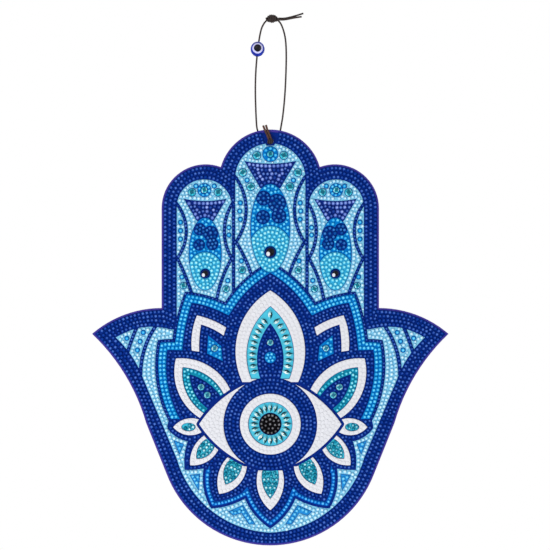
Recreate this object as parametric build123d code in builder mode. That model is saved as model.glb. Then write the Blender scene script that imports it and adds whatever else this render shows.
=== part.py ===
from build123d import *
import os
from math import asin, atan2, cos, degrees, pi, radians, sin, sqrt, tan

os.makedirs("parts", exist_ok=True)

# A hamsa hand to hang on a wall: a board covered with small stones, on a knotted cord loop with an eye bead.
# Millimetres. +Z is up and the front faces -Y. The origin is the underside of the top knot, where a hook bears.
# Sizes of the pattern are measured across (x) and up (z) from the centre of the big eye.

# Layers of the hand
board_thickness = 3.0
sheet_thickness = 0.3
print_thickness = 0.1
stone_height = 1.2
stone_diameter = 2.8
row_valley_width = 0.7
row_valley_depth = 0.7
stone_gap = 0.35
line_gap = 0.15
smallest_patch = 6.0
bare_rim = 1.2
eye_drop = 276.3

# Outline of the hand
middle_dome_radius = 35.5
middle_dome_z = 167.7
side_dome_radius = 30.4
side_dome_x = 44.6
side_dome_z = 148.8
thumb_root_z = 80.0
thumb_tip = (123.0, 62.2)
thumb_top_mid = (101.0, 75.3)
thumb_under_mid = (101.5, 36.0)
wrist_start = (85.7, 0.7)
palm_start = (71.5, -34.7)
palm_mid = (51.4, -64.0)
palm_bottom_z = -83.8

# Light panels of the fingers
middle_panel_radius = 24.15
middle_panel_z = 169.4
side_panel_radius = 19.0
side_panel_x = 45.5
side_panel_z = 149.7
panel_foot_z = 62.0

# Light ground of the thumbs and the palm, right half, corner and mid-arc points in turn
ground_edge = [(68.6, 65.2), (80.0, 67.0), (92.0, 66.0), (99.6, 63.2), (106.6, 59.7), (95.2, 46.3), (87.5, 31.0)]
ground_wrist = (64.5, -24.0)
ground_arc_mid = (45.5, -55.5)
ground_bottom_z = -74.9
thumb_stripes = [
    [(91.3, 68.5), (96.0, 57.0), (99.5, 45.5)],
    [(78.0, 69.0), (86.4, 53.0), (89.5, 34.0)],
]
thumb_stripe_width = 2.6

# Lotus outline, right half, corner and mid-arc points in turn from the top to the bottom
lotus_edge = [
    (0.0, 112.5), (14.5, 103.0), (31.3, 84.2), (45.1, 89.2), (58.9, 91.4), (64.0, 76.0), (67.2, 58.3),
    (72.3, 58.2), (77.3, 57.6), (78.6, 31.0), (69.8, 2.0), (70.5, -0.2), (70.7, -2.8), (64.0, -9.0),
    (56.5, -11.7), (58.8, -21.0), (58.7, -31.4), (52.2, -31.2), (45.7, -30.4), (45.8, -44.0), (40.7, -58.0),
    (30.0, -56.3), (17.3, -51.0), (10.9, -62.0), (0.0, -71.8),
]
lotus_line = 1.8
lotus_band_width = 5.4
lotus_band_foot_z = 3.5
lower_line = 1.5
lower_row_width = 2.6
lower_row_top_z = -31.5
row_spikes = [[(44.2, -33.6), (42.0, -28.6), (41.2, -33.6)], [(19.4, -47.6), (15.9, -43.4), (13.6, -48.6)]]

# Eye
eye_half_length = 49.0
almond_mid = (31.0, 19.2)
almond_shoulder = (17.6, 27.2)
eye_line = 2.0
eye_ring_radius = 32.0
white_ring_radius = 20.9
iris_radius = 15.3
pupil_radius = 7.5
iris_crystals_count = 20

# Petals, each as base, side, tip, side, base; the corner petal is measured from the eye's corner
centre_petal = [(19.2, 29.0), (21.9, 64.0), (0.0, 92.1)]
centre_petal_inner = [(13.2, 31.0), (15.0, 58.5), (0.0, 81.4)]
centre_petal_core = [(6.8, 32.0), (7.4, 55.0), (0.0, 69.0)]
crystal_path = [(11.2, 36.0), (11.2, 57.0), (0.0, 75.4)]
crystals_a_side = 10
crystal_pitch = 4.1
side_petal = [(26.6, 21.0), (42.2, 40.0), (65.0, 45.2), (63.4, 22.0), (46.4, 3.0)]
side_petal_inner = [(30.8, 18.2), (43.5, 33.7), (60.5, 39.3), (57.9, 21.4), (45.0, 6.8)]
side_petal_core = [(32.9, 16.2), (43.0, 27.8), (55.3, 33.8), (51.5, 20.4), (41.0, 9.6)]
corner_petal = [(-1.5, 2.4), (8.5, 3.7), (17.9, -2.1), (8.5, -7.4), (-1.5, -5.6)]
corner_petal_teal = (7.4, -2.0)
corner_teal_size = (4.6, 2.6)
small_petal = [(45.2, -7.6), (53.3, -17.0), (55.2, -28.3), (44.6, -26.3), (35.3, -16.4)]
small_petal_teal = [(42.6, -9.8), (49.8, -17.0), (50.7, -23.6), (44.5, -22.4), (38.4, -14.4)]
lower_petal = [(28.6, -22.2), (36.0, -35.5), (35.2, -48.0), (23.2, -42.9), (16.2, -28.0)]
lower_petal_teal = [(26.4, -23.3), (32.2, -34.6), (30.7, -41.4), (23.7, -37.2), (19.6, -27.2)]
bottom_petal = [(8.3, -32.0), (9.2, -42.0), (0.0, -59.3)]
bottom_petal_teal = [(5.2, -32.0), (5.0, -42.0), (0.0, -51.1)]
upper_petal = [(30.5, 66.6), (40.5, 71.8), (50.5, 74.9), (53.8, 63.2), (54.1, 50.7)]
upper_petal_inner = [(32.2, 61.1), (40.2, 65.9), (47.7, 68.7), (48.9, 59.3), (49.1, 50.0)]
upper_patch = [(42.9, 61.1), (33.9, 53.8), (32.9, 43.5), (43.6, 48.6)]

# Fish, sized for the middle finger and shrunk for the side fingers
fish_half_width = 13.5
fish_half_length = 30.4
tail_half_width = 17.7
tail_top = 46.0
tail_sag = 1.9
tail_root = (6.6, 27.5)
fish_spots = [(-4.7, 20.7, 4.8), (4.6, 17.3, 6.0), (-5.0, 7.6, 4.5), (6.0, 8.3, 4.8)]
fish_eye_drop = 16.6
fish_eye_radius = 3.9
cabochon_rise = 0.6
belly_drop = 16.0
belly_size = (15.0, 17.5)
middle_fish_z = 135.2
side_fish_x = 44.9
side_fish_z = 117.4
side_fish_scale = 0.82

# Scroll lines of the finger panels
scroll_width = 2.3
middle_scroll = [(24.5, 171.0), (16.7, 148.4), (24.5, 124.5)]
middle_scroll_foot = [(24.0, 126.2), (17.9, 115.2), (13.0, 103.0)]
outer_scroll = [(65.0, 152.5), (58.0, 134.0), (65.0, 113.3)]
outer_scroll_foot = [(64.5, 115.0), (58.7, 102.5), (53.6, 88.0)]
inner_scroll = [(26.0, 152.5), (31.7, 133.0), (26.0, 113.3)]
inner_scroll_foot = [(26.5, 114.5), (32.3, 102.5), (37.2, 84.5)]

# Round crystals: across, up, radius
flower_drop = 7.3
middle_flower_radius = 5.2
side_flower_radius = 4.5
flower_gem_radius = 2.2
finger_gems = [
    (9.3, 185.3, 2.7), (19.0, 173.5, 2.7), (13.5, 163.7, 2.7), (19.4, 106.2, 2.3),
    (54.0, 159.9, 2.6), (36.0, 159.9, 2.6), (59.9, 95.6, 2.2), (30.5, 93.2, 2.2),
]
petal_gems = [(38.4, 52.2, 2.2), (47.7, 25.5, 2.3), (43.4, 20.0, 2.3)]
core_gem_z = 56.2
core_flower_z = 45.9
core_flower_radius = 3.9
gem_height = 2.0
gem_sides = 10
gem_table = 0.55
marquise_length = 6.4
marquise_width = 3.0
marquise_height = 1.8

# Single accent stones on the light ground
accent_stones = [
    (16.0, 168.2), (20.6, 152.6), (21.0, 146.9), (20.6, 141.2), (19.9, 112.6), (61.9, 139.2), (61.9, 133.4),
    (61.9, 127.6), (28.5, 135.6), (28.5, 130.4), (60.9, 101.5), (29.3, 99.0), (51.3, 164.2), (38.6, 164.2),
    (98.9, 59.2), (87.6, 63.2), (89.8, 57.0), (91.6, 51.0),
]
accent_radius = 1.5
palm_patches = [
    [(66.3, -11.6), (59.9, -14.0), (62.7, -20.6)],
    [(55.2, -35.4), (48.7, -34.6), (49.6, -45.4)],
    [(28.5, -60.4), (18.9, -56.2), (10.9, -68.8), (14.6, -69.0), (19.8, -61.2), (25.6, -62.9)],
]

# Cord, bead and knots
cord_diameter = 1.2
cord_clearance = 0.3
hole_diameter = 4.0
hole_drop = 8.0
pivot_rise = 1.7
bead_arc_radius = 219.4
bead_arc_x = 208.9
bead_arc_z = -44.5
bead_z = -16.9
bead_diameter = 10.0
bead_length = 10.6
bead_bore = 1.9
bead_ring_diameter = 7.4
bead_pupil_diameter = 5.2
bead_eye_depth = 2.1
bead_eye_gap = 0.05
strand_drop = 71.4
left_strand_levels = [-60.0, -44.5, -29.0, -14.0]
left_strand_top = [(-6.6, -3.5), (0.0, 3.3)]
right_strand = [(5.8, 0.0), (7.4, -63.5), (9.2, -48.5), (10.2, -30.0), (10.1, -17.0), (8.9, -7.0), (3.0, 3.3)]
knot_centre = (0.65, 3.3)
knot_length = 8.7
knot_diameter = 5.9
knot_turns = 3
upper_tail = [(2.0, 3.9), (12.9, 4.2), (18.0, 5.4), (22.6, 7.3)]
lower_tail = [(2.0, 2.3), (12.9, 2.5), (17.6, 3.2), (21.6, 4.2)]
stopper_length = 4.6
stopper_diameter = 3.8
stopper_turns = 2
strand_spacing = 1.5
left_anchor_bend = (-7.4, -5.6)
right_anchor_bend = (5.3, -5.2)
hole_bend_radius = 1.4
front_tail_left = [(-1.5, 3.2), (-4.0, 7.0), (-6.1, 10.7)]
front_tail_right = [(0.1, 3.2), (-2.0, 7.0), (-3.8, 11.0)]
bare_patch = [(-2.6, 192.0), (-7.4, 204.5), (5.4, 204.5), (5.4, 198.0), (2.6, 192.0)]

# Fits that follow from the sizes above
cord_radius = cord_diameter / 2
board_back = cord_radius + cord_clearance
sheet_level = board_thickness
stone_level = board_thickness + sheet_thickness
stone_front = board_back + stone_level
hand_top_z = middle_dome_z + middle_dome_radius - eye_drop
hole_z = middle_dome_z + middle_dome_radius - hole_drop
pivot_z = hand_top_z + pivot_rise
finger_half_width = side_dome_x + side_dome_radius
strand_stretch = -pivot_z / strand_drop
corner_outline = [(eye_half_length + x, z) for x, z in corner_petal]


def face_plane(level):
    """A plane facing the viewer, a given height in front of the board's back, centred on the eye."""
    return Plane(origin=(0, -board_back - level, -eye_drop), x_dir=(1, 0, 0), z_dir=(0, -1, 0))


def arcs(points):
    """Arcs through corner, mid-arc and corner points in turn."""
    for first in range(0, len(points) - 2, 2):
        ThreePointArc(points[first], points[first + 1], points[first + 2])


def symmetric(half):
    """A shape whose right half runs from one end to the other of the centre line."""
    with BuildSketch() as shape:
        with BuildLine():
            arcs(half)
            Line((0, half[-1][1]), (0, half[0][1]))
            if half[0][0] > 0:
                Line((0, half[0][1]), half[0])
        make_face()
        mirror(about=Plane.YZ)
    return shape.sketch


def both_sides(outline):
    """A closed shape on the right, with its mirror image on the left."""
    with BuildSketch() as shape:
        with BuildLine():
            arcs(outline)
            Line(outline[-1], outline[0])
        make_face()
        mirror(about=Plane.YZ)
    return shape.sketch


def straight_sided(corners):
    """Polygons on the right, with their mirror images on the left."""
    with BuildSketch() as shape:
        for outline in corners:
            with BuildLine():
                Polyline(*outline, close=True)
            make_face()
        mirror(about=Plane.YZ)
    return shape.sketch


def discs(spots):
    """Round patches on both sides, each given as across, up and radius."""
    with BuildSketch() as shape:
        for x, z, radius in spots:
            with Locations((x, z)):
                Circle(radius)
        mirror(about=Plane.YZ)
    return shape.sketch


def strokes(lines, width):
    """Bands of one width along arcs, on both sides."""
    with BuildSketch() as shape:
        for start, middle, end in lines:
            with BuildLine(mode=Mode.PRIVATE) as stroke:
                ThreePointArc(start, middle, end)
            SlotArc(stroke.line.edge(), width)
        mirror(about=Plane.YZ)
    return shape.sketch


def joined(*regions):
    with BuildSketch() as shape:
        for region in regions:
            add(region)
    return shape.sketch


def cut(region, *holes):
    """A region less other regions, without its smallest crumbs."""
    with BuildSketch() as shape:
        add(region)
        for hole in holes:
            add(hole, mode=Mode.SUBTRACT)
    with BuildSketch() as kept:
        for face in shape.sketch.faces():
            if face.area > smallest_patch:
                add(face)
    return kept.sketch


def shared(region, zone):
    with BuildSketch() as shape:
        add(region)
        add(zone, mode=Mode.INTERSECT)
    return shape.sketch


def grown(region, amount):
    """A region whose edges are moved outward, or inward with a negative amount."""
    with BuildSketch() as shape:
        for face in region.faces():
            offset(face, amount=amount, mode=Mode.ADD)
    return shape.sketch


def edge_line(region, inset, width):
    """A thin line along a region's edges, a given way inside them."""
    return cut(grown(region, width / 2 - inset), grown(region, -width / 2 - inset))


def half_plane(low_z, high_z):
    """A wide strip between two heights."""
    with BuildSketch() as shape:
        with Locations((0, (low_z + high_z) / 2)):
            Rectangle(4 * finger_half_width, high_z - low_z)
    return shape.sketch


def plate(name, region, level=stone_level, height=stone_height, valleys=()):
    """One field of stones or print, as a flat piece on the layer below, with valleys between its rows of stones."""
    with BuildPart() as field:
        for face in region.faces():
            with BuildSketch(face_plane(level)):
                add(face)
            extrude(amount=height)
        for valley in valleys:
            with BuildSketch(face_plane(level + height - row_valley_depth)):
                add(valley)
            extrude(amount=2 * row_valley_depth, mode=Mode.SUBTRACT)
    field.part.label = name
    export_step(field.part, f"parts/{name}.step")


# Outline of the hand
with BuildSketch() as hand:
    with Locations((0, middle_dome_z)):
        Circle(middle_dome_radius)
    with Locations((-side_dome_x, side_dome_z), (side_dome_x, side_dome_z)):
        Circle(side_dome_radius)
    with Locations((0, side_dome_z / 2)):
        Rectangle(2 * finger_half_width, side_dome_z)
    with BuildLine():
        Line((0, thumb_root_z), (finger_half_width, thumb_root_z))
        ThreePointArc((finger_half_width, thumb_root_z), thumb_top_mid, thumb_tip)
        ThreePointArc(thumb_tip, thumb_under_mid, wrist_start)
        Line(wrist_start, palm_start)
        ThreePointArc(palm_start, palm_mid, (0, palm_bottom_z))
        Line((0, palm_bottom_z), (0, thumb_root_z))
    make_face()
    mirror(about=Plane.YZ)
outline = hand.sketch

# Light panels
with BuildSketch() as middle_panel:
    with Locations((0, middle_panel_z)):
        Circle(middle_panel_radius)
    with Locations((0, (middle_panel_z + panel_foot_z) / 2)):
        Rectangle(2 * middle_panel_radius, middle_panel_z - panel_foot_z)

with BuildSketch() as side_panels:
    with Locations((side_panel_x, side_panel_z)):
        Circle(side_panel_radius)
    with Locations((side_panel_x, (side_panel_z + panel_foot_z) / 2)):
        Rectangle(2 * side_panel_radius, side_panel_z - panel_foot_z)
    mirror(about=Plane.YZ)

with BuildSketch() as lower_ground:
    with BuildLine():
        arcs(ground_edge)
        Line(ground_edge[-1], ground_wrist)
        ThreePointArc(ground_wrist, ground_arc_mid, (0, ground_bottom_z))
        Line((0, ground_bottom_z), (0, ground_edge[0][1]))
        Line((0, ground_edge[0][1]), ground_edge[0])
    make_face()
    mirror(about=Plane.YZ)

with BuildSketch() as divider_zone:
    with Locations((0, (side_panel_z + panel_foot_z) / 2)):
        Rectangle(2 * (side_panel_x + side_panel_radius), side_panel_z - panel_foot_z)

lotus = symmetric(lotus_edge)

# Eye
with BuildSketch() as almond:
    with BuildLine():
        ThreePointArc((eye_half_length, 0), almond_mid, almond_shoulder)
        Line(almond_shoulder, (0, almond_shoulder[1]))
        Line((0, almond_shoulder[1]), (0, 0))
        Line((0, 0), (eye_half_length, 0))
    make_face()
    mirror(about=Plane.YZ)
    mirror(about=Plane.XZ)


def ring(outer, inner):
    with BuildSketch() as shape:
        Circle(outer)
        if inner > 0:
            Circle(inner, mode=Mode.SUBTRACT)
    return shape.sketch


def eye_surround(extra=0.0):
    """The eye with the line round it."""
    return joined(grown(almond.sketch, eye_line + extra), ring(eye_ring_radius + stone_gap + extra, 0))


eye_disc = ring(eye_ring_radius + stone_gap, 0)
eye_zone = eye_surround()

# Fish
def fish_body(x, z, scale, extra=0.0):
    with BuildSketch() as shape:
        with Locations((x, z)):
            Ellipse(fish_half_width * scale + extra, fish_half_length * scale + extra)
    return shape.sketch


def fish_tail(x, z, scale, extra=0.0):
    half = tail_half_width * scale + extra
    top = z + tail_top * scale + extra
    root_x = tail_root[0] * scale + extra
    root_z = z + tail_root[1] * scale
    with BuildSketch() as shape:
        with BuildLine():
            ThreePointArc((x - half, top), (x, top - tail_sag * scale), (x + half, top))
            Polyline((x + half, top), (x + root_x, root_z), (x - root_x, root_z), (x - half, top))
        make_face()
    return shape.sketch


def fish_spot_patches(x, z, scale, side, extra=0.0):
    with BuildSketch() as shape:
        for across, up, radius in fish_spots:
            with Locations((x + side * across * scale, z + up * scale)):
                Circle(radius * scale + extra)
    return shape.sketch


def fish_belly(x, z, scale, extra=0.0):
    with BuildSketch() as shape:
        with Locations((x, z - belly_drop * scale)):
            Ellipse(belly_size[0] * scale + extra, belly_size[1] * scale + extra)
    return shape.sketch


def fish_eye_hole(x, z, scale):
    with BuildSketch() as shape:
        with Locations((x, z - fish_eye_drop * scale)):
            Circle(fish_eye_radius * scale + stone_gap)
    return shape.sketch


fishes = [
    (-side_fish_x, side_fish_z, side_fish_scale, 1),
    (0.0, middle_fish_z, 1.0, 1),
    (side_fish_x, side_fish_z, side_fish_scale, -1),
]
fish_cuts = [fish_body(x, z, scale, stone_gap) for x, z, scale, _ in fishes]
tail_cuts = [fish_tail(x, z, scale, stone_gap) for x, z, scale, _ in fishes]

# Round crystals, flowers and single stones on the fingers
flowers = [
    (0.0, middle_panel_z + middle_panel_radius - flower_drop, middle_flower_radius),
    (side_panel_x, side_panel_z + side_panel_radius - flower_drop, side_flower_radius),
]
flower_gems = [(x, z, flower_gem_radius) for x, z, _ in flowers]


def with_gap(spots):
    return [(x, z, radius + stone_gap) for x, z, radius in spots]


finger_holes = discs(with_gap(finger_gems + flowers))
accents = [(x, z, accent_radius) for x, z in accent_stones]
accent_holes = discs(with_gap(accents))
scroll_lines = [middle_scroll, middle_scroll_foot, outer_scroll, outer_scroll_foot, inner_scroll, inner_scroll_foot]
scrolls = strokes(scroll_lines, scroll_width)
with BuildSketch() as hole:
    with Locations((0, hole_z)):
        Circle(hole_diameter / 2)
with BuildSketch() as bare:
    with BuildLine():
        Polyline(*bare_patch, close=True)
    make_face()
    add(hole.sketch)

# Board and printed sheet
plate("board", cut(outline, hole.sketch), 0, board_thickness)
plate("printed_sheet", cut(outline, hole.sketch), sheet_level, sheet_thickness)

# Border
inside = joined(middle_panel.sketch, side_panels.sketch, divider_zone.sketch, lower_ground.sketch, lotus)
border_valleys = [
    edge_line(outline, bare_rim + stone_diameter, row_valley_width),
    edge_line(inside, -stone_gap - stone_diameter, row_valley_width),
]
border = cut(grown(outline, -bare_rim), grown(inside, stone_gap), bare.sketch)
plate("border_stones", border, valleys=border_valleys)

# Fingers
ground_cuts = [lotus, scrolls, finger_holes, accent_holes, bare.sketch] + fish_cuts + tail_cuts
plate("middle_finger_ground", cut(middle_panel.sketch, *ground_cuts))
side_ground = cut(side_panels.sketch, *ground_cuts)
for name, side in (("left", -1), ("right", 1)):
    with BuildSketch() as one_finger:
        for face in side_ground.faces():
            if face.center().X * side > 0:
                add(face)
    plate(f"{name}_finger_ground", one_finger.sketch)

tails = []
backs = []
bellies = []
spots = []
for x, z, scale, side in fishes:
    body = fish_body(x, z, scale)
    spot_cut = fish_spot_patches(x, z, scale, side, stone_gap)
    tails.append(cut(fish_tail(x, z, scale), fish_body(x, z, scale, stone_gap)))
    backs.append(cut(body, fish_belly(x, z, scale, stone_gap), spot_cut))
    bellies.append(cut(shared(body, fish_belly(x, z, scale)), spot_cut, fish_eye_hole(x, z, scale)))
    spots.append(shared(fish_spot_patches(x, z, scale, side), fish_body(x, z, scale, -stone_gap)))
plate("fish_tails", joined(*tails))
plate("fish_backs", joined(*backs))
plate("fish_bellies", joined(*bellies))
plate("fish_spots", joined(*spots))

# Thumbs and palm
stripe_cut = strokes(thumb_stripes, thumb_stripe_width)
patches = straight_sided(palm_patches)
low_ground = cut(lower_ground.sketch, grown(lotus, stone_gap), stripe_cut, accent_holes, grown(patches, stone_gap))
palm_faces = low_ground.faces().sort_by(SortBy.AREA)
with BuildSketch() as palm:
    add(palm_faces[-1])
with BuildSketch() as thumb_tips:
    for face in palm_faces[:-1]:
        add(face)
plate("palm_ground", palm.sketch)
plate("thumb_ground", thumb_tips.sketch)
plate("palm_patches", patches)

# Flowers and single stones
flower_rings = cut(discs(flowers), discs(with_gap(flower_gems)))
plate("finger_flowers", flower_rings)
plate("accent_stones", discs(accents))

# Lotus
def corner_tips(half, amount):
    """The sharp tips that a shape's inner corners get when its edges are moved inward, on both sides."""
    with BuildLine(mode=Mode.PRIVATE):
        runs = [ThreePointArc(*half[first : first + 3]) for first in range(0, len(half) - 2, 2)]
    with BuildSketch() as tips:
        for before, after in zip(runs, runs[1:]):
            corner = after @ 0
            last = before % 1
            first = after % 0
            if last.cross(first).Z > 0.1:
                one = Vector(last.Y, -last.X)
                other = Vector(first.Y, -first.X)
                middle = (one + other).normalized()
                tip = corner + middle * (amount / middle.dot(one))
                with BuildLine():
                    Polyline(corner, corner + one * amount, tip, corner + other * amount, close=True)
                make_face()
        mirror(about=Plane.YZ)
    return tips.sketch


def lotus_inset(amount):
    return cut(grown(lotus, -amount), corner_tips(lotus_edge, amount))


band_zone = half_plane(lotus_band_foot_z, 2 * middle_dome_z)
row_zone = half_plane(2 * palm_bottom_z, lower_row_top_z)
band_inner = lotus_line + lotus_band_width
band_middle = lotus_line + lotus_band_width / 2
band = shared(cut(lotus_inset(lotus_line), lotus_inset(band_inner)), band_zone)
band_valley = cut(lotus_inset(band_middle - row_valley_width / 2), lotus_inset(band_middle + row_valley_width / 2))
row = shared(cut(grown(lotus, -lower_line), grown(lotus, -lower_line - lower_row_width)), row_zone)
spikes = straight_sided(row_spikes)

# Lines of single stones: between the fingers, along the scrolls and the thumbs' stripes, and round the lotus
panels = joined(middle_panel.sketch, side_panels.sketch)
dividers = cut(divider_zone.sketch, grown(panels, line_gap))
scroll_rows = strokes(scroll_lines, scroll_width - 2 * line_gap)
finger_rows = shared(joined(dividers, scroll_rows), joined(panels, divider_zone.sketch))
stripe_rows = shared(strokes(thumb_stripes, thumb_stripe_width - 2 * line_gap), lower_ground.sketch)
lotus_row = shared(cut(lotus_inset(line_gap), lotus_inset(lotus_line - line_gap)), band_zone)
row_cuts = [grown(lotus, line_gap), finger_holes, accent_holes, grown(patches, line_gap)] + fish_cuts + tail_cuts
line_rows = [cut(finger_rows, *row_cuts), cut(stripe_rows, *row_cuts), cut(lotus_row, *fish_cuts)]
plate("line_stones", joined(*line_rows))

# Petals
centre_inner = symmetric(centre_petal_inner)
centre_core = symmetric(centre_petal_core)
side_inner = both_sides(side_petal_inner)
side_core = both_sides(side_petal_core)
small_inner = both_sides(small_petal_teal)
lower_inner = both_sides(lower_petal_teal)
bottom_inner = symmetric(bottom_petal_teal)
upper_inner = straight_sided([upper_patch])
with BuildSketch() as chevrons:
    with BuildLine():
        arcs(upper_petal)
        Line(upper_petal[-1], upper_petal_inner[-1])
        arcs(upper_petal_inner)
        Line(upper_petal_inner[0], upper_petal[0])
    make_face()
    mirror(about=Plane.YZ)


def corner_ovals(extra):
    with BuildSketch() as shape:
        with Locations((eye_half_length + corner_petal_teal[0], corner_petal_teal[1])):
            Ellipse(corner_teal_size[0] + extra, corner_teal_size[1] + extra)
        mirror(about=Plane.YZ)
    return shape.sketch


plate("centre_petal_white", cut(symmetric(centre_petal), centre_inner, eye_disc))
plate("upper_petal_white", chevrons.sketch)
plate("side_petal_white", cut(both_sides(side_petal), side_inner, eye_zone))
lower_whites = [
    cut(both_sides(corner_outline), corner_ovals(stone_gap), eye_zone),
    cut(both_sides(small_petal), grown(small_inner, stone_gap), eye_zone),
    cut(both_sides(lower_petal), grown(lower_inner, stone_gap), eye_zone),
    cut(symmetric(bottom_petal), grown(bottom_inner, stone_gap), eye_disc),
]
plate("lower_petal_white", joined(*lower_whites))

petal_gem_holes = discs(with_gap(petal_gems))
core_gems = [(0.0, core_gem_z, flower_gem_radius)]
core_flower = [(0.0, core_flower_z, core_flower_radius)]
plate("side_petal_teal", cut(grown(side_inner, -stone_gap), grown(side_core, stone_gap), eye_zone))
plate("side_petal_core", cut(side_core, petal_gem_holes, eye_zone))
plate("upper_petal_patch", cut(upper_inner, petal_gem_holes))
lower_teals = joined(small_inner, lower_inner, bottom_inner, corner_ovals(0.0))
plate("lower_petal_teal", cut(lower_teals, eye_zone))
plate("centre_petal_core", cut(centre_core, eye_disc, discs(with_gap(core_gems + core_flower))))
plate("centre_petal_flower", discs(core_flower))
plate(
    "centre_petal_bed",
    cut(grown(centre_inner, -stone_gap), grown(centre_core, stone_gap), eye_disc),
    height=print_thickness,
)

petal_zone = joined(
    symmetric(centre_petal), chevrons.sketch, upper_inner, both_sides(side_petal), both_sides(corner_outline),
    both_sides(small_petal), both_sides(lower_petal), symmetric(bottom_petal),
)
plate("lotus_band", cut(band, *fish_cuts), valleys=[band_valley])
plate("lower_petal_row", joined(row, spikes))


def lotus_field(inset=0.0):
    """The ground between the petals, a given way inside its edges."""
    gap = stone_gap + inset
    band_cut = shared(cut(lotus, lotus_inset(band_inner + gap)), band_zone)
    row_cut = shared(cut(lotus, grown(lotus, -lower_line - lower_row_width - gap)), row_zone)
    holes = [band_cut, row_cut, grown(spikes, gap), grown(petal_zone, gap), eye_surround(inset)]
    return cut(grown(lotus, -gap), *holes, *fish_cuts)


half_valley = row_valley_width / 2
lotus_valley = cut(lotus_field(stone_diameter - half_valley), lotus_field(stone_diameter + half_valley))
plate("lotus_ground", lotus_field(), valleys=[lotus_valley])

# Eye
plate("eye_white", cut(almond.sketch, eye_disc))
eye_rows = int((eye_ring_radius - white_ring_radius) / stone_diameter)
eye_valleys = [
    ring(radius + row_valley_width / 2, radius - row_valley_width / 2)
    for radius in (eye_ring_radius - row * stone_diameter for row in range(1, eye_rows + 1))
]
plate("eye_ring", ring(eye_ring_radius, white_ring_radius + stone_gap), valleys=eye_valleys)
plate("eye_white_ring", ring(white_ring_radius, iris_radius))
plate("iris_bed", ring(iris_radius - stone_gap, pupil_radius + stone_gap), height=print_thickness)
plate("pupil_stones", ring(pupil_radius, 0))


# Crystals
def round_crystal(radius):
    """A flat-backed round crystal with facets up to its table."""
    girdle = 0.4 * gem_height
    with BuildPart() as gem:
        with BuildSketch():
            RegularPolygon(radius, gem_sides)
        extrude(amount=girdle)
        with BuildSketch(Plane.XY.offset(girdle)):
            RegularPolygon(radius, gem_sides)
        with BuildSketch(Plane.XY.offset(gem_height)):
            RegularPolygon(radius * gem_table, gem_sides)
        loft(ruled=True)
    return gem.part


def marquise_outline(scale):
    half = marquise_length / 2 * scale
    wide = marquise_width / 2 * scale
    points = [(half, 0), (half / 2, 0.8 * wide), (0, wide), (-half / 2, 0.8 * wide)]
    Polygon(*points, *[(-x, -z) for x, z in points], align=None)


def marquise_crystal():
    """A flat-backed pointed oval crystal with facets up to its table."""
    girdle = 0.4 * marquise_height
    with BuildPart() as gem:
        with BuildSketch():
            marquise_outline(1.0)
        extrude(amount=girdle)
        with BuildSketch(Plane.XY.offset(girdle)):
            marquise_outline(1.0)
        with BuildSketch(Plane.XY.offset(marquise_height)):
            marquise_outline(gem_table)
        loft(ruled=True)
    return gem.part


def round_crystals(name, spots, level=stone_level):
    with BuildPart(face_plane(level)) as gems:
        for x, z, radius in spots:
            gem = round_crystal(radius)
            with Locations(*{(x, z), (-x, z)}):
                add(gem)
    gems.part.label = name
    export_step(gems.part, f"parts/{name}.step")


round_crystals("finger_crystals", finger_gems)
round_crystals("flower_crystals", flower_gems)
round_crystals("petal_crystals", petal_gems + core_gems)

marquise = marquise_crystal()
with BuildPart(face_plane(stone_level + print_thickness)) as iris_crystals:
    with PolarLocations((iris_radius + pupil_radius) / 2, iris_crystals_count):
        add(marquise)
iris_crystals.part.label = "iris_crystals"
export_step(iris_crystals.part, "parts/iris_crystals.step")

with BuildLine():
    crystal_arc = ThreePointArc(*crystal_path)
crystal_spots = [Location((0, crystal_path[-1][1], 0), (0, 0, 90))]
for number in range(crystals_a_side):
    along = number * crystal_pitch / crystal_arc.length
    spot = crystal_arc @ along
    heading = crystal_arc % along
    turn = degrees(atan2(-heading.X, heading.Y))
    crystal_spots.append(Location((spot.X, spot.Y, 0), (0, 0, turn)))
    crystal_spots.append(Location((-spot.X, spot.Y, 0), (0, 0, -turn)))
with BuildPart(face_plane(stone_level + print_thickness)) as centre_petal_crystals:
    with Locations(*crystal_spots):
        add(marquise)
centre_petal_crystals.part.label = "centre_petal_crystals"
export_step(centre_petal_crystals.part, "parts/centre_petal_crystals.step")


def cabochon(radius):
    """A flat-backed dome."""
    height = cabochon_rise * radius
    ball = (radius**2 + height**2) / (2 * height)
    with BuildPart() as dome:
        with Locations((0, 0, height - ball)):
            Sphere(ball)
        split(bisect_by=Plane.XY)
    return dome.part


with BuildPart(face_plane(stone_level)) as fish_eyes:
    for x, z, scale, _ in fishes:
        eye = cabochon(fish_eye_radius * scale)
        with Locations((x, z - fish_eye_drop * scale)):
            add(eye)
fish_eyes.part.label = "fish_eyes"
export_step(fish_eyes.part, "parts/fish_eyes.step")


# Knots: turns of cord side by side, as a lump along x
def knot_lump(centre, length, diameter, turns):
    crest = diameter / 2
    valley = crest - 0.35 * cord_diameter
    step = length / turns
    with BuildPart() as lump:
        with BuildSketch(Plane(origin=centre, x_dir=(1, 0, 0), z_dir=(0, -1, 0))):
            with BuildLine():
                for turn in range(turns):
                    start = -length / 2 + turn * step
                    ThreePointArc((start, valley), (start + step / 2, crest), (start + step, valley))
                Polyline((length / 2, valley), (length / 2, 0), (-length / 2, 0), (-length / 2, valley))
            make_face()
        revolve(axis=Axis(centre, (1, 0, 0)))
    return lump.part


def bend_radii(points, bends):
    """The largest easy radius at each bend, unless a tighter one is given."""
    radii = []
    for number in range(1, len(points) - 1):
        before = Vector(*points[number]) - Vector(*points[number - 1])
        after = Vector(*points[number + 1]) - Vector(*points[number])
        half_turn = radians(before.get_angle(after)) / 2
        easy = 0.45 * min(before.length, after.length) / tan(half_turn)
        radii.append(bends.get(number, easy))
    return radii


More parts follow.
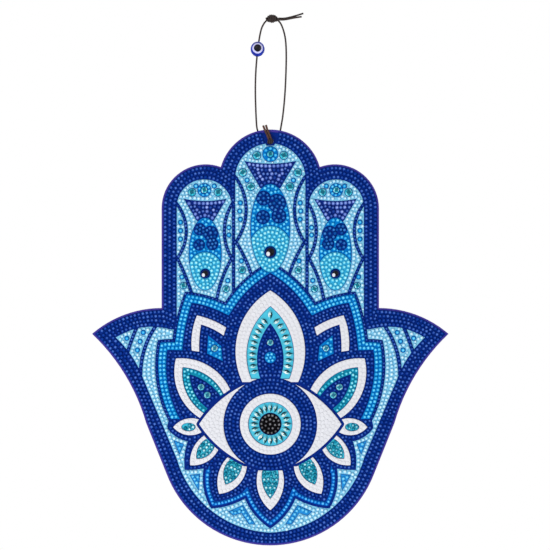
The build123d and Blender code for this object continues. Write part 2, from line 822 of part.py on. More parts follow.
def cord_piece(name, points, knot=None, ball=None, bends={}):
    """One length of cord along its bends, cut where it meets a knot."""
    radii = bend_radii(points, bends)
    heading = Vector(*points[1]) - Vector(*points[0])
    with BuildPart() as cord:
        with BuildLine() as route:
            FilletPolyline(*points, radius=radii)
        with BuildSketch(Plane(origin=points[0], z_dir=heading)):
            Circle(cord_radius)
        sweep()
        filled = cord.part.volume / (pi * cord_radius**2 * route.wire().length)
        print(name, "radii", [round(radius, 1) for radius in radii], "volume ratio", round(filled, 4))
        if ball is not None:
            with Locations(ball):
                Sphere(cord_radius)
        if knot is not None:
            add(knot, mode=Mode.SUBTRACT)
    cord.part.label = name
    export_step(cord.part, f"parts/{name}.step")


top_knot = knot_lump((knot_centre[0], 0, knot_centre[1]), knot_length, knot_diameter, knot_turns)
top_knot.label = "top_knot"
export_step(top_knot, "parts/top_knot.step")


def left_strand_x(z):
    return bead_arc_x - sqrt(bead_arc_radius**2 - (z - bead_arc_z) ** 2)


left_foot = (left_strand_x(pivot_z), 0, pivot_z)
right_foot = (right_strand[0][0], 0, pivot_z)
left_levels = [z * strand_stretch for z in left_strand_levels]
left_points = [left_foot] + [(left_strand_x(z), 0, z) for z in left_levels]
left_points += [(x, 0, z) for x, z in left_strand_top]
right_points = [right_foot] + [(x, 0, z * strand_stretch) for x, z in right_strand[1:-1]]
right_points.append((right_strand[-1][0], 0, right_strand[-1][1]))
cord_piece("left_strand", left_points, top_knot, left_foot)
cord_piece("right_strand", right_points, top_knot, right_foot)
cord_piece("upper_tail", [(x, 0, z) for x, z in upper_tail], top_knot)
cord_piece("lower_tail", [(x, 0, z) for x, z in lower_tail], top_knot)

# Stopper knot at the hole, with the ends of both strands
hole_height = hole_z - eye_drop
stopper_y = -stone_front - cord_clearance - stopper_diameter / 2
stopper_knot = knot_lump((0, stopper_y, hole_height), stopper_length, stopper_diameter, stopper_turns)
stopper_knot.label = "stopper_knot"
export_step(stopper_knot, "parts/stopper_knot.step")
anchor_z = pivot_z - cord_radius - cord_clearance / 2


def anchor_points(foot, bend, side):
    across = side * strand_spacing / 2
    return [
        (foot[0], 0, anchor_z),
        (bend[0], 0, pivot_z + bend[1]),
        (across, 0, hole_height),
        (across, stopper_y, hole_height),
    ]


cord_piece("left_anchor", anchor_points(left_foot, left_anchor_bend, -1), stopper_knot, bends={2: hole_bend_radius})
cord_piece("right_anchor", anchor_points(right_foot, right_anchor_bend, 1), stopper_knot, bends={2: hole_bend_radius})
tail_y = -stone_front - cord_clearance - cord_radius


def front_tail(points, side):
    start = (side * strand_spacing / 2, stopper_y, hole_height)
    return [start] + [(x, tail_y, hole_height + up) for x, up in points]


cord_piece("left_front_tail", front_tail(front_tail_left, -1), stopper_knot)
cord_piece("right_front_tail", front_tail(front_tail_right, 1), stopper_knot)

# Bead with its eye on the front and the back, threaded on the left strand
bead_lean = degrees(asin((bead_z - bead_arc_z) / bead_arc_radius))
bead_plane = Plane(
    origin=(left_strand_x(bead_z), 0, bead_z),
    x_dir=(cos(radians(bead_lean)), 0, -sin(radians(bead_lean))),
    z_dir=(sin(radians(bead_lean)), 0, cos(radians(bead_lean))),
)
eye_back = bead_diameter / 2 - bead_eye_depth


def bead_oval():
    with BuildPart() as oval:
        with BuildSketch(Plane.XZ):
            with BuildLine():
                EllipticalCenterArc((0, 0), bead_diameter / 2, bead_length / 2, start_angle=-90, arc_size=180)
                Line((0, bead_length / 2), (0, -bead_length / 2))
            make_face()
        revolve(axis=Axis.Z)
    return oval.part


def eye_discs(diameter, back):
    """Round plugs through the front and the back of the bead."""
    with BuildPart() as plugs:
        with BuildSketch(Plane.XZ.offset(back), Plane.XZ.offset(-back).rotated((180, 0, 0))):
            Circle(diameter / 2)
        extrude(amount=bead_diameter)
    return plugs.part


oval = bead_oval()
with BuildPart(bead_plane) as bead_glass:
    add(oval)
    add(eye_discs(bead_ring_diameter, eye_back), mode=Mode.SUBTRACT)
    Cylinder(bead_bore / 2, 2 * bead_length, mode=Mode.SUBTRACT)
bead_glass.part.label = "bead_glass"
export_step(bead_glass.part, "parts/bead_glass.step")

with BuildPart(bead_plane) as bead_rings:
    add(oval)
    add(eye_discs(bead_ring_diameter - 2 * bead_eye_gap, eye_back), mode=Mode.INTERSECT)
    add(eye_discs(bead_pupil_diameter, 0), mode=Mode.SUBTRACT)
bead_rings.part.label = "bead_rings"
export_step(bead_rings.part, "parts/bead_rings.step")

with BuildPart(bead_plane) as bead_pupils:
    add(oval)
    add(eye_discs(bead_pupil_diameter - 2 * bead_eye_gap, eye_back), mode=Mode.INTERSECT)
bead_pupils.part.label = "bead_pupils"
export_step(bead_pupils.part, "parts/bead_pupils.step")
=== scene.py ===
import math

import bpy
import numpy as np
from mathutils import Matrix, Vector
from mathutils.geometry import tessellate_polygon
from mathutils.kdtree import KDTree


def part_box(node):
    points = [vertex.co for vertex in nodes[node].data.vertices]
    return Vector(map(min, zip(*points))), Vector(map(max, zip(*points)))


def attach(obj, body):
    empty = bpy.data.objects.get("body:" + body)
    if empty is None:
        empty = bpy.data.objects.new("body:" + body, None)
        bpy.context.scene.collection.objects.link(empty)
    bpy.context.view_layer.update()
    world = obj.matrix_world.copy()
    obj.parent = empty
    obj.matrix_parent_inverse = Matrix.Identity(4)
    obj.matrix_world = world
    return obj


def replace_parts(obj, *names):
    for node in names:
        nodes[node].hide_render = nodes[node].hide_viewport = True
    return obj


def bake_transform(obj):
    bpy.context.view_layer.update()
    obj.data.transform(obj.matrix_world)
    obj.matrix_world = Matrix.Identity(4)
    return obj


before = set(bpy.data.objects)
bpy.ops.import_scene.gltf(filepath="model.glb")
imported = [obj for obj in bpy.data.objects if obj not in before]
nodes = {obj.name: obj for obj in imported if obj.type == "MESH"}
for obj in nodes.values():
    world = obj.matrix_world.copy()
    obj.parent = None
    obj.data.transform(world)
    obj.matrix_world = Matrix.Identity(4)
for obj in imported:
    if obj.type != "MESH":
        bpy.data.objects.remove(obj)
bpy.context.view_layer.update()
scene = bpy.context.scene
MM = 0.001

# Sizes of the stones, films and cords, in millimetres
stone_pitch = 2.8
stone_width = 2.72
stone_overhang = 0.5
ground_height = 0.08
white_rise = 0.85
print_height = 0.04
# The painted highlight on each fish eye stands this far off its dome
highlight_patch_height = 0.02
cord_width = 1.2
tail_width = 1.5

# How far stones lean at most, in degrees
stone_lean = 4.0
round_gem_lean = 2.0
boat_gem_lean = 2.5

# How stones fill a field, as shares of the pitch: the closest in rows, the closest loose ones, the least
# depth of a loose one inside the outline, and the least depth in the thin scroll lines
row_gap = 0.84
loose_gap = 0.78
loose_depth = 0.3
line_depth = 0.2

# A narrow field's only row, the pull of the outline on loose stones, how close neighbours touch, the shortest
# line with two stones, how far ahead a row's direction is read, and the rounds in which loose stones settle
narrow_depth = 0.95
edge_pull = 1.5
touching = 1.02
two_stone_line = 1.6
look_ahead = 0.3
settle_rounds = 8

# How fine the outlines are read: a field's grid in pitches, the rim's grid and the back face's depth in
# millimetres, the grains of a millimetre by which points are told apart, and pairs measured at once
field_step = 0.15
rim_step = 0.5
back_depth = 0.02
grains = 1000
pairs_at_once = 2000000

# Fish tails: the lilac row's depth and dip, where the rays start and end, and their places across the tail
lilac_row = 3.4
lilac_dip = 1.0
ray_start = 5.5
ray_end = 13.5
outer_ray = 0.5
outer_ray_slope = 0.012
middle_ray = 0.02
ray_half_width = 0.1

# A crystal is pointed from this length over its width. Round ones turn by this step, in radians
pointed_from = 1.3
gem_turn = 0.2

# Place and size of the painted highlight on each fish eye, a white patch on the dome, as shares of the eye's
# half width
highlight_patch_place = (-0.38, -0.32)
highlight_patch_size = (0.34, 0.4)
highlight_patch_rings = 3
highlight_patch_sides = 20

# Where a fish eye's dome starts to turn from navy to black and where it ends, along Y in metres
dome_navy = -0.0050
dome_black = -0.0060

# Cords: sides of a cord, steps between two points of its route, and points in one turn of a knot
cord_sides = 14
route_steps = 10
turn_points = 12

# The room, in metres, watts and millimetres of lens
floor_level = -1.6
floor_radius = 4.6
floor_sides = 128
room_light = 0.43
ornament_middle = (0.0, 0.0, -0.2)
camera_place = (0.00324, -0.9002, -0.1735)
camera_lens = 85.0
camera_film = 36.0


# Finishes


def paint(red, green, blue):
    """A colour as seen on the object, 0 to 255, for a shader's socket."""
    steps = []
    for value in (red, green, blue):
        share = value / 255
        steps.append(share / 12.92 if share <= 0.04045 else ((share + 0.055) / 1.055) ** 2.4)
    return (*steps, 1.0)


class Finish:
    """One material, with short words for the nodes that it is made of."""

    def __init__(self, name):
        self.material = bpy.data.materials.new(name)
        self.material.use_nodes = True
        self.tree = self.material.node_tree
        self.tree.nodes.clear()
        self.shader = self.tree.nodes.new("ShaderNodeBsdfPrincipled")
        out = self.tree.nodes.new("ShaderNodeOutputMaterial")
        self.tree.links.new(self.shader.outputs["BSDF"], out.inputs["Surface"])

    def node(self, kind, **settings):
        made = self.tree.nodes.new(kind)
        for key, value in settings.items():
            setattr(made, key, value)
        return made

    def link(self, start, end):
        self.tree.links.new(start, end)
        return end

    def set(self, **sockets):
        for name, value in sockets.items():
            self.shader.inputs[name.replace("_", " ")].default_value = value
        return self

    def attribute(self, name):
        return self.node("ShaderNodeAttribute", attribute_name=name).outputs["Fac"]

    def place(self, scale=(1, 1, 1)):
        where = self.node("ShaderNodeTexCoord")
        turn = self.node("ShaderNodeMapping")
        turn.inputs["Scale"].default_value = scale
        self.link(where.outputs["Object"], turn.inputs["Vector"])
        return turn.outputs["Vector"]

    def noise(self, scale, detail=3.0, vector=None, roughness=0.5):
        made = self.node("ShaderNodeTexNoise")
        made.inputs["Scale"].default_value = scale
        made.inputs["Detail"].default_value = detail
        made.inputs["Roughness"].default_value = roughness
        self.link(vector or self.place(), made.inputs["Vector"])
        return made.outputs["Fac"]

    def ramp(self, factor, *stops):
        made = self.node("ShaderNodeValToRGB")
        elements = made.color_ramp.elements
        while len(elements) < len(stops):
            elements.new(0.5)
        for element, (position, colour) in zip(elements, stops):
            element.position = position
            element.color = colour
        self.link(factor, made.inputs["Fac"])
        return made.outputs["Color"]

    def mix(self, factor, first, second):
        made = self.node("ShaderNodeMix", data_type="RGBA")
        for socket, value in ((made.inputs[0], factor), (made.inputs[6], first), (made.inputs[7], second)):
            if isinstance(value, bpy.types.NodeSocket):
                self.link(value, socket)
            else:
                socket.default_value = value
        return made.outputs[2]

    def span(self, factor, low, high):
        made = self.node("ShaderNodeMapRange")
        made.inputs["To Min"].default_value = low
        made.inputs["To Max"].default_value = high
        self.link(factor, made.inputs["Value"])
        return made.outputs["Result"]

    def product(self, first, second):
        made = self.node("ShaderNodeMath", operation="MULTIPLY")
        self.link(first, made.inputs[0])
        self.link(second, made.inputs[1])
        return made.outputs[0]

    def colour(self, socket):
        self.link(socket, self.shader.inputs["Base Color"])
        return self

    def rough(self, factor, low, high):
        self.link(self.span(factor, low, high), self.shader.inputs["Roughness"])
        return self

    def bump(self, height, strength, distance):
        made = self.node("ShaderNodeBump")
        made.inputs["Strength"].default_value = strength
        made.inputs["Distance"].default_value = distance
        self.link(height, made.inputs["Height"])
        self.link(made.outputs["Normal"], self.shader.inputs["Normal"])
        return self


def stone_finish(name, painted_gap_shade, body, painted_glint, spread, gloss=0.05):
    """Cut resin: the girdle is painted with the shade of the gaps, the crown with the stone's colour, and the
    table with a painted highlight, brighter on some stones by chance.
    """
    made = Finish(name)
    lit = made.product(made.attribute("facet"), made.span(made.attribute("tone"), low=1 - spread, high=1.0))
    made.colour(made.ramp(lit, (0.0, painted_gap_shade), (0.5, body), (1.0, painted_glint)))
    made.rough(made.noise(scale=900.0), low=0.18, high=0.34)
    made.set(IOR=1.5, Specular_IOR_Level=gloss)
    return made.material


def crystal_finish(name, dark, body, painted_sparkle):
    """Foiled crystal: painted reflections, each facet a shade from near black through the crystal's colour to
    near white.
    """
    made = Finish(name)
    lit = made.product(made.attribute("facet"), made.span(made.attribute("tone"), low=0.8, high=1.0))
    made.colour(made.ramp(lit, (0.05, dark), (0.3, body), (0.7, body), (0.95, painted_sparkle)))
    made.rough(made.noise(scale=700.0), low=0.06, high=0.16)
    made.set(IOR=1.58, Specular_IOR_Level=0.12)
    return made.material


def film_finish(name, low, high, gloss=0.05):
    """Printed film: an even ink with a faint mottle and a satin skin."""
    made = Finish(name)
    made.colour(made.ramp(made.noise(scale=260.0, detail=4.0), (0.3, low), (0.7, high)))
    made.rough(made.noise(scale=1200.0), low=0.32, high=0.46)
    made.bump(made.noise(scale=2600.0), strength=0.12, distance=0.00005)
    made.set(IOR=1.5, Specular_IOR_Level=gloss)
    return made.material


# Stone finishes: painted shade for the gaps, the stone's own colour, a painted highlight for the table, how
# far chance tones spread, and gloss
navy_stone = stone_finish(
    "navy_stone", paint(0, 36, 122), paint(2, 52, 146), paint(80, 120, 204), spread=0.5)
deep_blue_stone = stone_finish(
    "deep_blue_stone", paint(0, 56, 136), paint(4, 76, 160), paint(72, 140, 214), spread=0.5)
light_blue_stone = stone_finish(
    "light_blue_stone", paint(92, 172, 212), paint(156, 218, 246), paint(226, 248, 255),
    spread=0.3, gloss=0.12)
sky_blue_stone = stone_finish(
    "sky_blue_stone", paint(0, 112, 188), paint(20, 160, 230), paint(130, 230, 255), spread=0.35)
row_stone = stone_finish(
    "row_stone", paint(0, 90, 182), paint(16, 132, 224), paint(104, 204, 255), spread=0.35)
patch_stone = stone_finish(
    "patch_stone", paint(24, 128, 200), paint(56, 170, 230), paint(150, 230, 255), spread=0.35, gloss=0.1)
cyan_stone = stone_finish(
    "cyan_stone", paint(40, 160, 206), paint(80, 202, 234), paint(190, 252, 255), spread=0.35, gloss=0.1)
teal_stone = stone_finish(
    "teal_stone", paint(0, 104, 142), paint(32, 178, 212), paint(180, 250, 255), spread=0.5)
petal_stone = stone_finish(
    "petal_stone", paint(0, 68, 98), paint(14, 148, 180), paint(212, 254, 255), spread=0.7)
white_stone = stone_finish(
    "white_stone", paint(220, 221, 227), paint(223, 224, 230), paint(226, 227, 233), spread=0.2, gloss=0.1)
black_stone = stone_finish(
    "black_stone", paint(1, 1, 3), paint(10, 10, 14), paint(134, 134, 140), spread=0.3)
tail_stone = stone_finish(
    "tail_stone", paint(4, 32, 116), paint(20, 58, 150), paint(106, 140, 216), spread=0.5)
lilac_stone = stone_finish(
    "lilac_stone", paint(44, 70, 156), paint(88, 116, 202), paint(168, 190, 250), spread=0.4)
# Crystal finishes: the painted dark facets, the crystal's own colour, and the painted light facets
round_crystal = crystal_finish(
    "round_crystal", paint(0, 88, 112), paint(48, 190, 212), paint(198, 250, 255))
bright_crystal = crystal_finish(
    "bright_crystal", paint(10, 92, 124), paint(100, 210, 226), paint(234, 255, 255))
pointed_crystal = crystal_finish(
    "pointed_crystal", paint(8, 24, 32), paint(104, 206, 222), paint(252, 254, 246))
navy_film = film_finish("navy_film", paint(0, 34, 120), paint(4, 42, 134))
violet_film = film_finish("violet_film", paint(58, 48, 142), paint(70, 60, 154))
light_blue_film = film_finish("light_blue_film", paint(122, 194, 224), paint(134, 204, 232))
sky_blue_film = film_finish("sky_blue_film", paint(0, 116, 196), paint(0, 124, 204))
row_film = film_finish("row_film", paint(0, 92, 186), paint(0, 100, 194))
patch_film = film_finish("patch_film", paint(30, 134, 208), paint(42, 146, 216))
cyan_film = film_finish("cyan_film", paint(46, 168, 212), paint(56, 178, 220))
teal_film = film_finish("teal_film", paint(10, 128, 162), paint(20, 142, 174))
petal_film = film_finish("petal_film", paint(56, 184, 210), paint(70, 196, 220))
white_film = film_finish("white_film", paint(221, 222, 228), paint(225, 226, 232), gloss=0.1)
black_film = film_finish("black_film", paint(2, 2, 4), paint(6, 6, 9))
tail_film = film_finish("tail_film", paint(4, 32, 116), paint(10, 40, 128))
aqua_film = film_finish("aqua_film", paint(68, 186, 214), paint(82, 198, 224), gloss=0.1)


def board_finish():
    """Sawn fibreboard: fine pale and dark fibres, matt."""
    made = Finish("fibreboard")
    fibres = made.noise(scale=420.0, detail=8.0, vector=made.place((1.0, 1.0, 0.35)), roughness=0.7)
    made.colour(made.ramp(
        fibres, (0.3, paint(132, 100, 68)), (0.5, paint(158, 124, 88)), (0.72, paint(182, 150, 112))))
    made.rough(fibres, low=0.7, high=0.9)
    made.bump(made.noise(scale=1500.0, detail=6.0), strength=0.25, distance=0.0001)
    return made.material


def cord_finish(name, dark, pale):
    """Waxed cord: a tight twist that runs round the cord, and a dull shine."""
    made = Finish(name)
    lay = made.node("ShaderNodeUVMap", uv_map="along_cord")
    turn = made.node("ShaderNodeMapping")
    turn.inputs["Scale"].default_value = (3.0, 1.0, 1.0)
    turn.inputs["Rotation"].default_value = (0.0, 0.0, math.radians(38.0))
    made.link(lay.outputs["UV"], turn.inputs["Vector"])
    twist = made.node("ShaderNodeTexWave", wave_type="BANDS", bands_direction="X")
    twist.inputs["Scale"].default_value = 1.6
    twist.inputs["Distortion"].default_value = 1.2
    twist.inputs["Detail"].default_value = 3.0
    made.link(turn.outputs["Vector"], twist.inputs["Vector"])
    wear = made.ramp(made.noise(scale=600.0, detail=5.0), (0.3, (0, 0, 0, 1)), (0.7, (1, 1, 1, 1)))
    worn = made.mix(0.7, twist.outputs["Color"], wear)
    made.colour(made.mix(worn, dark, pale))
    made.rough(twist.outputs["Fac"], low=0.42, high=0.6)
    made.bump(twist.outputs["Fac"], strength=0.3, distance=0.00005)
    made.set(IOR=1.5, Specular_IOR_Level=0.25)
    return made.material


def glass_finish(name, low, high):
    """Lampwork glass: solid colour with a slow swirl under a wet polish."""
    made = Finish(name)
    made.colour(made.ramp(made.noise(scale=220.0, detail=2.0), (0.35, low), (0.65, high)))
    made.rough(made.noise(scale=900.0), low=0.06, high=0.12)
    made.set(IOR=1.5, Specular_IOR_Level=0.16)
    return made.material


def dome_finish():
    """Polished dome: navy at the rim, black over the top."""
    made = Finish("dark_dome")
    parts = made.node("ShaderNodeSeparateXYZ")
    made.link(made.place(), parts.inputs["Vector"])
    rise = made.node("ShaderNodeMapRange")
    rise.inputs["From Min"].default_value = dome_navy
    rise.inputs["From Max"].default_value = dome_black
    made.link(parts.outputs["Y"], rise.inputs["Value"])
    made.colour(made.ramp(
        rise.outputs["Result"], (0.0, paint(4, 38, 116)), (0.5, paint(2, 14, 62)), (0.8, paint(3, 3, 10))))
    made.rough(made.noise(scale=900.0), low=0.1, high=0.14)
    made.set(IOR=1.5, Specular_IOR_Level=0.14)
    return made.material


brown_cord = cord_finish("brown_cord", paint(27, 19, 18), paint(62, 50, 47))
tail_cord = cord_finish("tail_cord", paint(44, 24, 20), paint(98, 64, 52))
blue_glass = glass_finish("blue_glass", paint(2, 30, 150), paint(10, 52, 186))
white_glass = glass_finish("white_glass", paint(198, 198, 248), paint(214, 214, 255))
black_glass = glass_finish("black_glass", paint(8, 8, 18), paint(16, 16, 30))
dark_dome = dome_finish()
fibreboard = board_finish()


# Making pieces


def new_piece(name, mesh, *finishes):
    piece = bpy.data.objects.new(name, mesh)
    scene.collection.objects.link(piece)
    for finish in finishes:
        mesh.materials.append(finish)
    return piece


def plain_mesh(piece):
    """The piece as it is evaluated now, as a mesh of its own."""
    graph = bpy.context.evaluated_depsgraph_get()
    seen = piece.evaluated_get(graph)
    return bpy.data.meshes.new_from_object(seen, preserve_all_data_layers=True, depsgraph=graph)


def cut_stone(name, rings, painted_facet_light, sides, half_turn=()):
    """A stone of unit width and unit height that faces -Y. Rings are (radius, height) from the foot up. Each
    face keeps its painted light and shade as 'facet'.
    """
    corners, faces, shades = [], [], []
    for number, (radius, height) in enumerate(rings):
        offset = 0.5 if number in half_turn else 0.0
        for side in range(sides):
            angle = 2 * math.pi * (side + offset) / sides
            corners.append((radius * math.cos(angle), -height, radius * math.sin(angle)))
    for number in range(len(rings) - 1):
        low, high = number * sides, (number + 1) * sides
        twisted = (number in half_turn) != (number + 1 in half_turn)
        for side in range(sides):
            after = (side + 1) % sides
            near = painted_facet_light[number][side % len(painted_facet_light[number])]
            far = painted_facet_light[number][(side + 1) % len(painted_facet_light[number])]
            if not twisted:
                faces.append((low + side, low + after, high + after, high + side))
                shades.append(near)
            elif number + 1 in half_turn:
                faces.append((low + side, low + after, high + side))
                faces.append((low + after, high + after, high + side))
                shades.extend((near, far))
            else:
                faces.append((low + side, high + after, high + side))
                faces.append((low + side, low + after, high + after))
                shades.extend((near, far))
    top = (len(rings) - 1) * sides
    faces.append(tuple(top + side for side in range(sides)))
    faces.append(tuple(reversed(range(sides))))
    shades.extend((painted_facet_light[-1][0], 0.0))
    mesh = bpy.data.meshes.new(name)
    mesh.from_pydata(corners, [], faces)
    mesh.attributes.new("facet", "FLOAT", "FACE").data.foreach_set("value", shades)
    return new_piece(name, mesh)


def pointed_stone(name):
    """A boat-shaped crystal of unit length along X, unit width along Z and unit height. Its crown is painted
    light along one long side and painted shade along the other.
    """
    girdle, table_length, table_width = 0.35, 0.5, 0.42
    painted_girdle_light, painted_table_light = 0.4, (0.15, 0.9)
    painted_crown_light = (0.6, 1.0, 1.0, 0.8, 0.3, 0.02, 0.0, 0.1)
    half = [(-0.5, 0.0), (-0.3, 0.3), (0.0, 0.5), (0.3, 0.3)]
    outline = half + [(-x, -z) for x, z in half]
    sides = len(outline)
    corners = [(x, 0.0, z) for x, z in outline] + [(x, -girdle, z) for x, z in outline]
    corners += [(table_length * x, -1.0, table_width * z) for x, z in outline]
    faces, shades = [], []
    for side in range(sides):
        after = (side + 1) % sides
        faces.append((side, after, sides + after, sides + side))
        shades.append(painted_girdle_light)
        faces.append((sides + side, sides + after, 2 * sides + after, 2 * sides + side))
        shades.append(painted_crown_light[side])
    top = 2 * sides
    faces.append((top, top + 1, top + 2, top + 6, top + 7))
    faces.append((top + 2, top + 3, top + 4, top + 5, top + 6))
    faces.append(tuple(reversed(range(sides))))
    shades.extend((*painted_table_light, 0.0))
    mesh = bpy.data.meshes.new(name)
    mesh.from_pydata(corners, [], faces)
    mesh.flip_normals()
    mesh.attributes.new("facet", "FLOAT", "FACE").data.foreach_set("value", shades)
    return new_piece(name, mesh)


# Painted light and shade per ring of faces: the small and wide stones have a dark girdle and a painted
# highlight on the table, the round gem a bright crown round a dark table
wide_stone = cut_stone(
    "wide_stone", rings=[(0.51, 0.0), (0.51, 0.7), (0.42, 1.0)], painted_facet_light=[[0.3], [0.6, 0.8], [1.0]], sides=8)
small_stone = cut_stone(
    "small_stone", rings=[(0.5, 0.0), (0.5, 0.36), (0.36, 0.84), (0.22, 1.0)],
    painted_facet_light=[[0.1], [0.38, 0.54], [0.58, 0.74], [1.0]], sides=8)
round_gem = cut_stone(
    "round_gem", rings=[(0.5, 0.0), (0.5, 0.3), (0.4, 0.66), (0.27, 1.0)],
    painted_facet_light=[[0.5], [0.6, 1.0, 0.5, 0.85, 0.7], [0.95, 0.3, 0.1, 0.5, 0.2], [0.08]], sides=10, half_turn=(2,))
boat_gem = pointed_stone("boat_gem")


def stone_setting():
    """Sets one stone at each place, leaning and toned a little by chance, on its printed ground."""
    tone_seed_step = 17.0
    tree = bpy.data.node_groups.new("stone_setting", "GeometryNodeTree")
    wanted = [("Places", "Geometry"), ("Stone", "Object"), ("Lean", "Float"), ("Seed", "Int"),
              ("Stone Finish", "Material"), ("Ground", "Object"), ("Ground Finish", "Material")]
    for name, kind in wanted:
        tree.interface.new_socket(name, in_out="INPUT", socket_type="NodeSocket" + kind)
    tree.interface.new_socket("Field", in_out="OUTPUT", socket_type="NodeSocketGeometry")
    given = tree.nodes.new("NodeGroupInput")
    result = tree.nodes.new("NodeGroupOutput")

    def add(kind, inputs=(), **settings):
        made = tree.nodes.new(kind)
        for key, value in settings.items():
            setattr(made, key, value)
        for name, value in inputs:
            socket = made.inputs[name]
            if isinstance(value, bpy.types.NodeSocket):
                tree.links.new(value, socket)
            else:
                socket.default_value = value
        return made

    stone = add("GeometryNodeObjectInfo", [("Object", given.outputs["Stone"]), ("As Instance", True)])
    turn = add("GeometryNodeInputNamedAttribute", [("Name", "turn")], data_type="FLOAT")
    span = add("GeometryNodeInputNamedAttribute", [("Name", "span")], data_type="FLOAT_VECTOR")
    back = add("ShaderNodeMath", [(0, 0.0), (1, given.outputs["Lean"])], operation="SUBTRACT")
    least = add("ShaderNodeCombineXYZ", [("X", back.outputs[0]), ("Z", back.outputs[0])])
    most = add("ShaderNodeCombineXYZ", [("X", given.outputs["Lean"]), ("Z", given.outputs["Lean"])])
    lean = add("FunctionNodeRandomValue", data_type="FLOAT_VECTOR")
    tree.links.new(least.outputs[0], lean.inputs[0])
    tree.links.new(most.outputs[0], lean.inputs[1])
    tree.links.new(given.outputs["Seed"], lean.inputs["Seed"])
    about = add("ShaderNodeCombineXYZ", [("Y", turn.outputs["Attribute"])])
    facing = add("ShaderNodeVectorMath", operation="ADD")
    tree.links.new(about.outputs[0], facing.inputs[0])
    tree.links.new(lean.outputs[0], facing.inputs[1])
    laid = add("GeometryNodeInstanceOnPoints", [
        ("Points", given.outputs["Places"]), ("Instance", stone.outputs["Geometry"]),
        ("Rotation", facing.outputs[0]), ("Scale", span.outputs["Attribute"])])
    later = add("ShaderNodeMath", [(0, given.outputs["Seed"]), (1, tone_seed_step)], operation="ADD")
    chance = add("FunctionNodeRandomValue", data_type="FLOAT")
    tree.links.new(later.outputs[0], chance.inputs["Seed"])
    toned = add("GeometryNodeStoreNamedAttribute", [
        ("Geometry", laid.outputs["Instances"]), ("Name", "tone"), ("Value", chance.outputs[1])],
        data_type="FLOAT", domain="INSTANCE")
    solid = add("GeometryNodeRealizeInstances", [("Geometry", toned.outputs["Geometry"])])
    shown = add("GeometryNodeSetMaterial", [
        ("Geometry", solid.outputs["Geometry"]), ("Material", given.outputs["Stone Finish"])])
    ground = add("GeometryNodeObjectInfo", [("Object", given.outputs["Ground"])])
    printed = add("GeometryNodeSetMaterial", [
        ("Geometry", ground.outputs["Geometry"]), ("Material", given.outputs["Ground Finish"])])
    joined = add("GeometryNodeJoinGeometry")
    tree.links.new(printed.outputs["Geometry"], joined.inputs[0])
    tree.links.new(shown.outputs["Geometry"], joined.inputs[0])
    tree.links.new(joined.outputs[0], result.inputs[0])
    return tree


setting = stone_setting()


def set_stones(name, places, stone, finish, ground=None, ground_finish=None, lean=stone_lean, seed=1):
    """Places are (x, y, z, turn, width, height, depth), in millimetres. Gives the finished piece."""
    mesh = bpy.data.meshes.new(name)
    rows = np.array(places, float).reshape(-1, 7)
    mesh.from_pydata([tuple(row) for row in rows[:, :3] * MM], [], [])
    mesh.attributes.new("turn", "FLOAT", "POINT").data.foreach_set("value", rows[:, 3])
    spans = (rows[:, 4:] * MM).ravel()
    mesh.attributes.new("span", "FLOAT_VECTOR", "POINT").data.foreach_set("vector", spans)
    piece = new_piece(name, mesh)
    work = piece.modifiers.new("stones", "NODES")
    work.node_group = setting
    values = {"Stone": stone, "Lean": math.radians(lean), "Seed": seed, "Stone Finish": finish,
              "Ground": ground, "Ground Finish": ground_finish}
    for socket in setting.interface.items_tree:
        if socket.in_out == "INPUT" and values.get(socket.name) is not None:
            work[socket.identifier] = values[socket.name]
    made = plain_mesh(piece)
    piece.modifiers.clear()
    piece.data = made
    bpy.data.meshes.remove(mesh)
    made.name = name
    return piece


# Reading the fields of the design


def corners_of(node):
    mesh = nodes[node].data
    spots = np.empty(len(mesh.vertices) * 3)
    mesh.vertices.foreach_get("co", spots)
    mesh.calc_loop_triangles()
    sides = np.empty(len(mesh.loop_triangles) * 3, int)
    mesh.loop_triangles.foreach_get("vertices", sides)
    return spots.reshape(-1, 3) / MM, sides.reshape(-1, 3)


def rim_of(sides):
    """The edges round a face, in the sense of its triangles."""
    edges = np.vstack([sides[:, [0, 1]], sides[:, [1, 2]], sides[:, [2, 0]]])
    _, first, count = np.unique(np.sort(edges, axis=1), axis=0, return_index=True, return_counts=True)
    return edges[first[count == 1]]


def back_of(node):
    """A plate's back face, as its (x, z) points and its triangles."""
    spots, sides = corners_of(node)
    sides = sides[(spots[sides][:, :, 1] > spots[:, 1].max() - back_depth).all(1)]
    flat = np.round(spots[sides.ravel()][:, [0, 2]] * grains).astype(int)
    grid, same = np.unique(flat, axis=0, return_inverse=True)
    sides = same.reshape(-1, 3)
    return grid / grains, sides[(sides != np.roll(sides, 1, axis=1)).all(1)]


def outline_of(node):
    """The lines round a plate's back face, as pairs of (x, z) points."""
    points, sides = back_of(node)
    return points[rim_of(sides)]


def solids_of(node):
    """The node's separate solids, each as the points at its corners."""
    spots, sides = corners_of(node)
    grid, same = np.unique(np.round(spots * grains).astype(int), axis=0, return_inverse=True)
    same = same.reshape(-1)
    parent = list(range(len(grid)))

    def root(at):
        while parent[at] != at:
            parent[at] = parent[parent[at]]
            at = parent[at]
        return at

    for a, b, c in same[sides]:
        parent[root(a)] = root(b)
        parent[root(c)] = root(b)
    groups = {}
    for at in range(len(grid)):
        groups.setdefault(root(at), []).append(grid[at] / grains)
    return [np.array(group) for group in groups.values()]


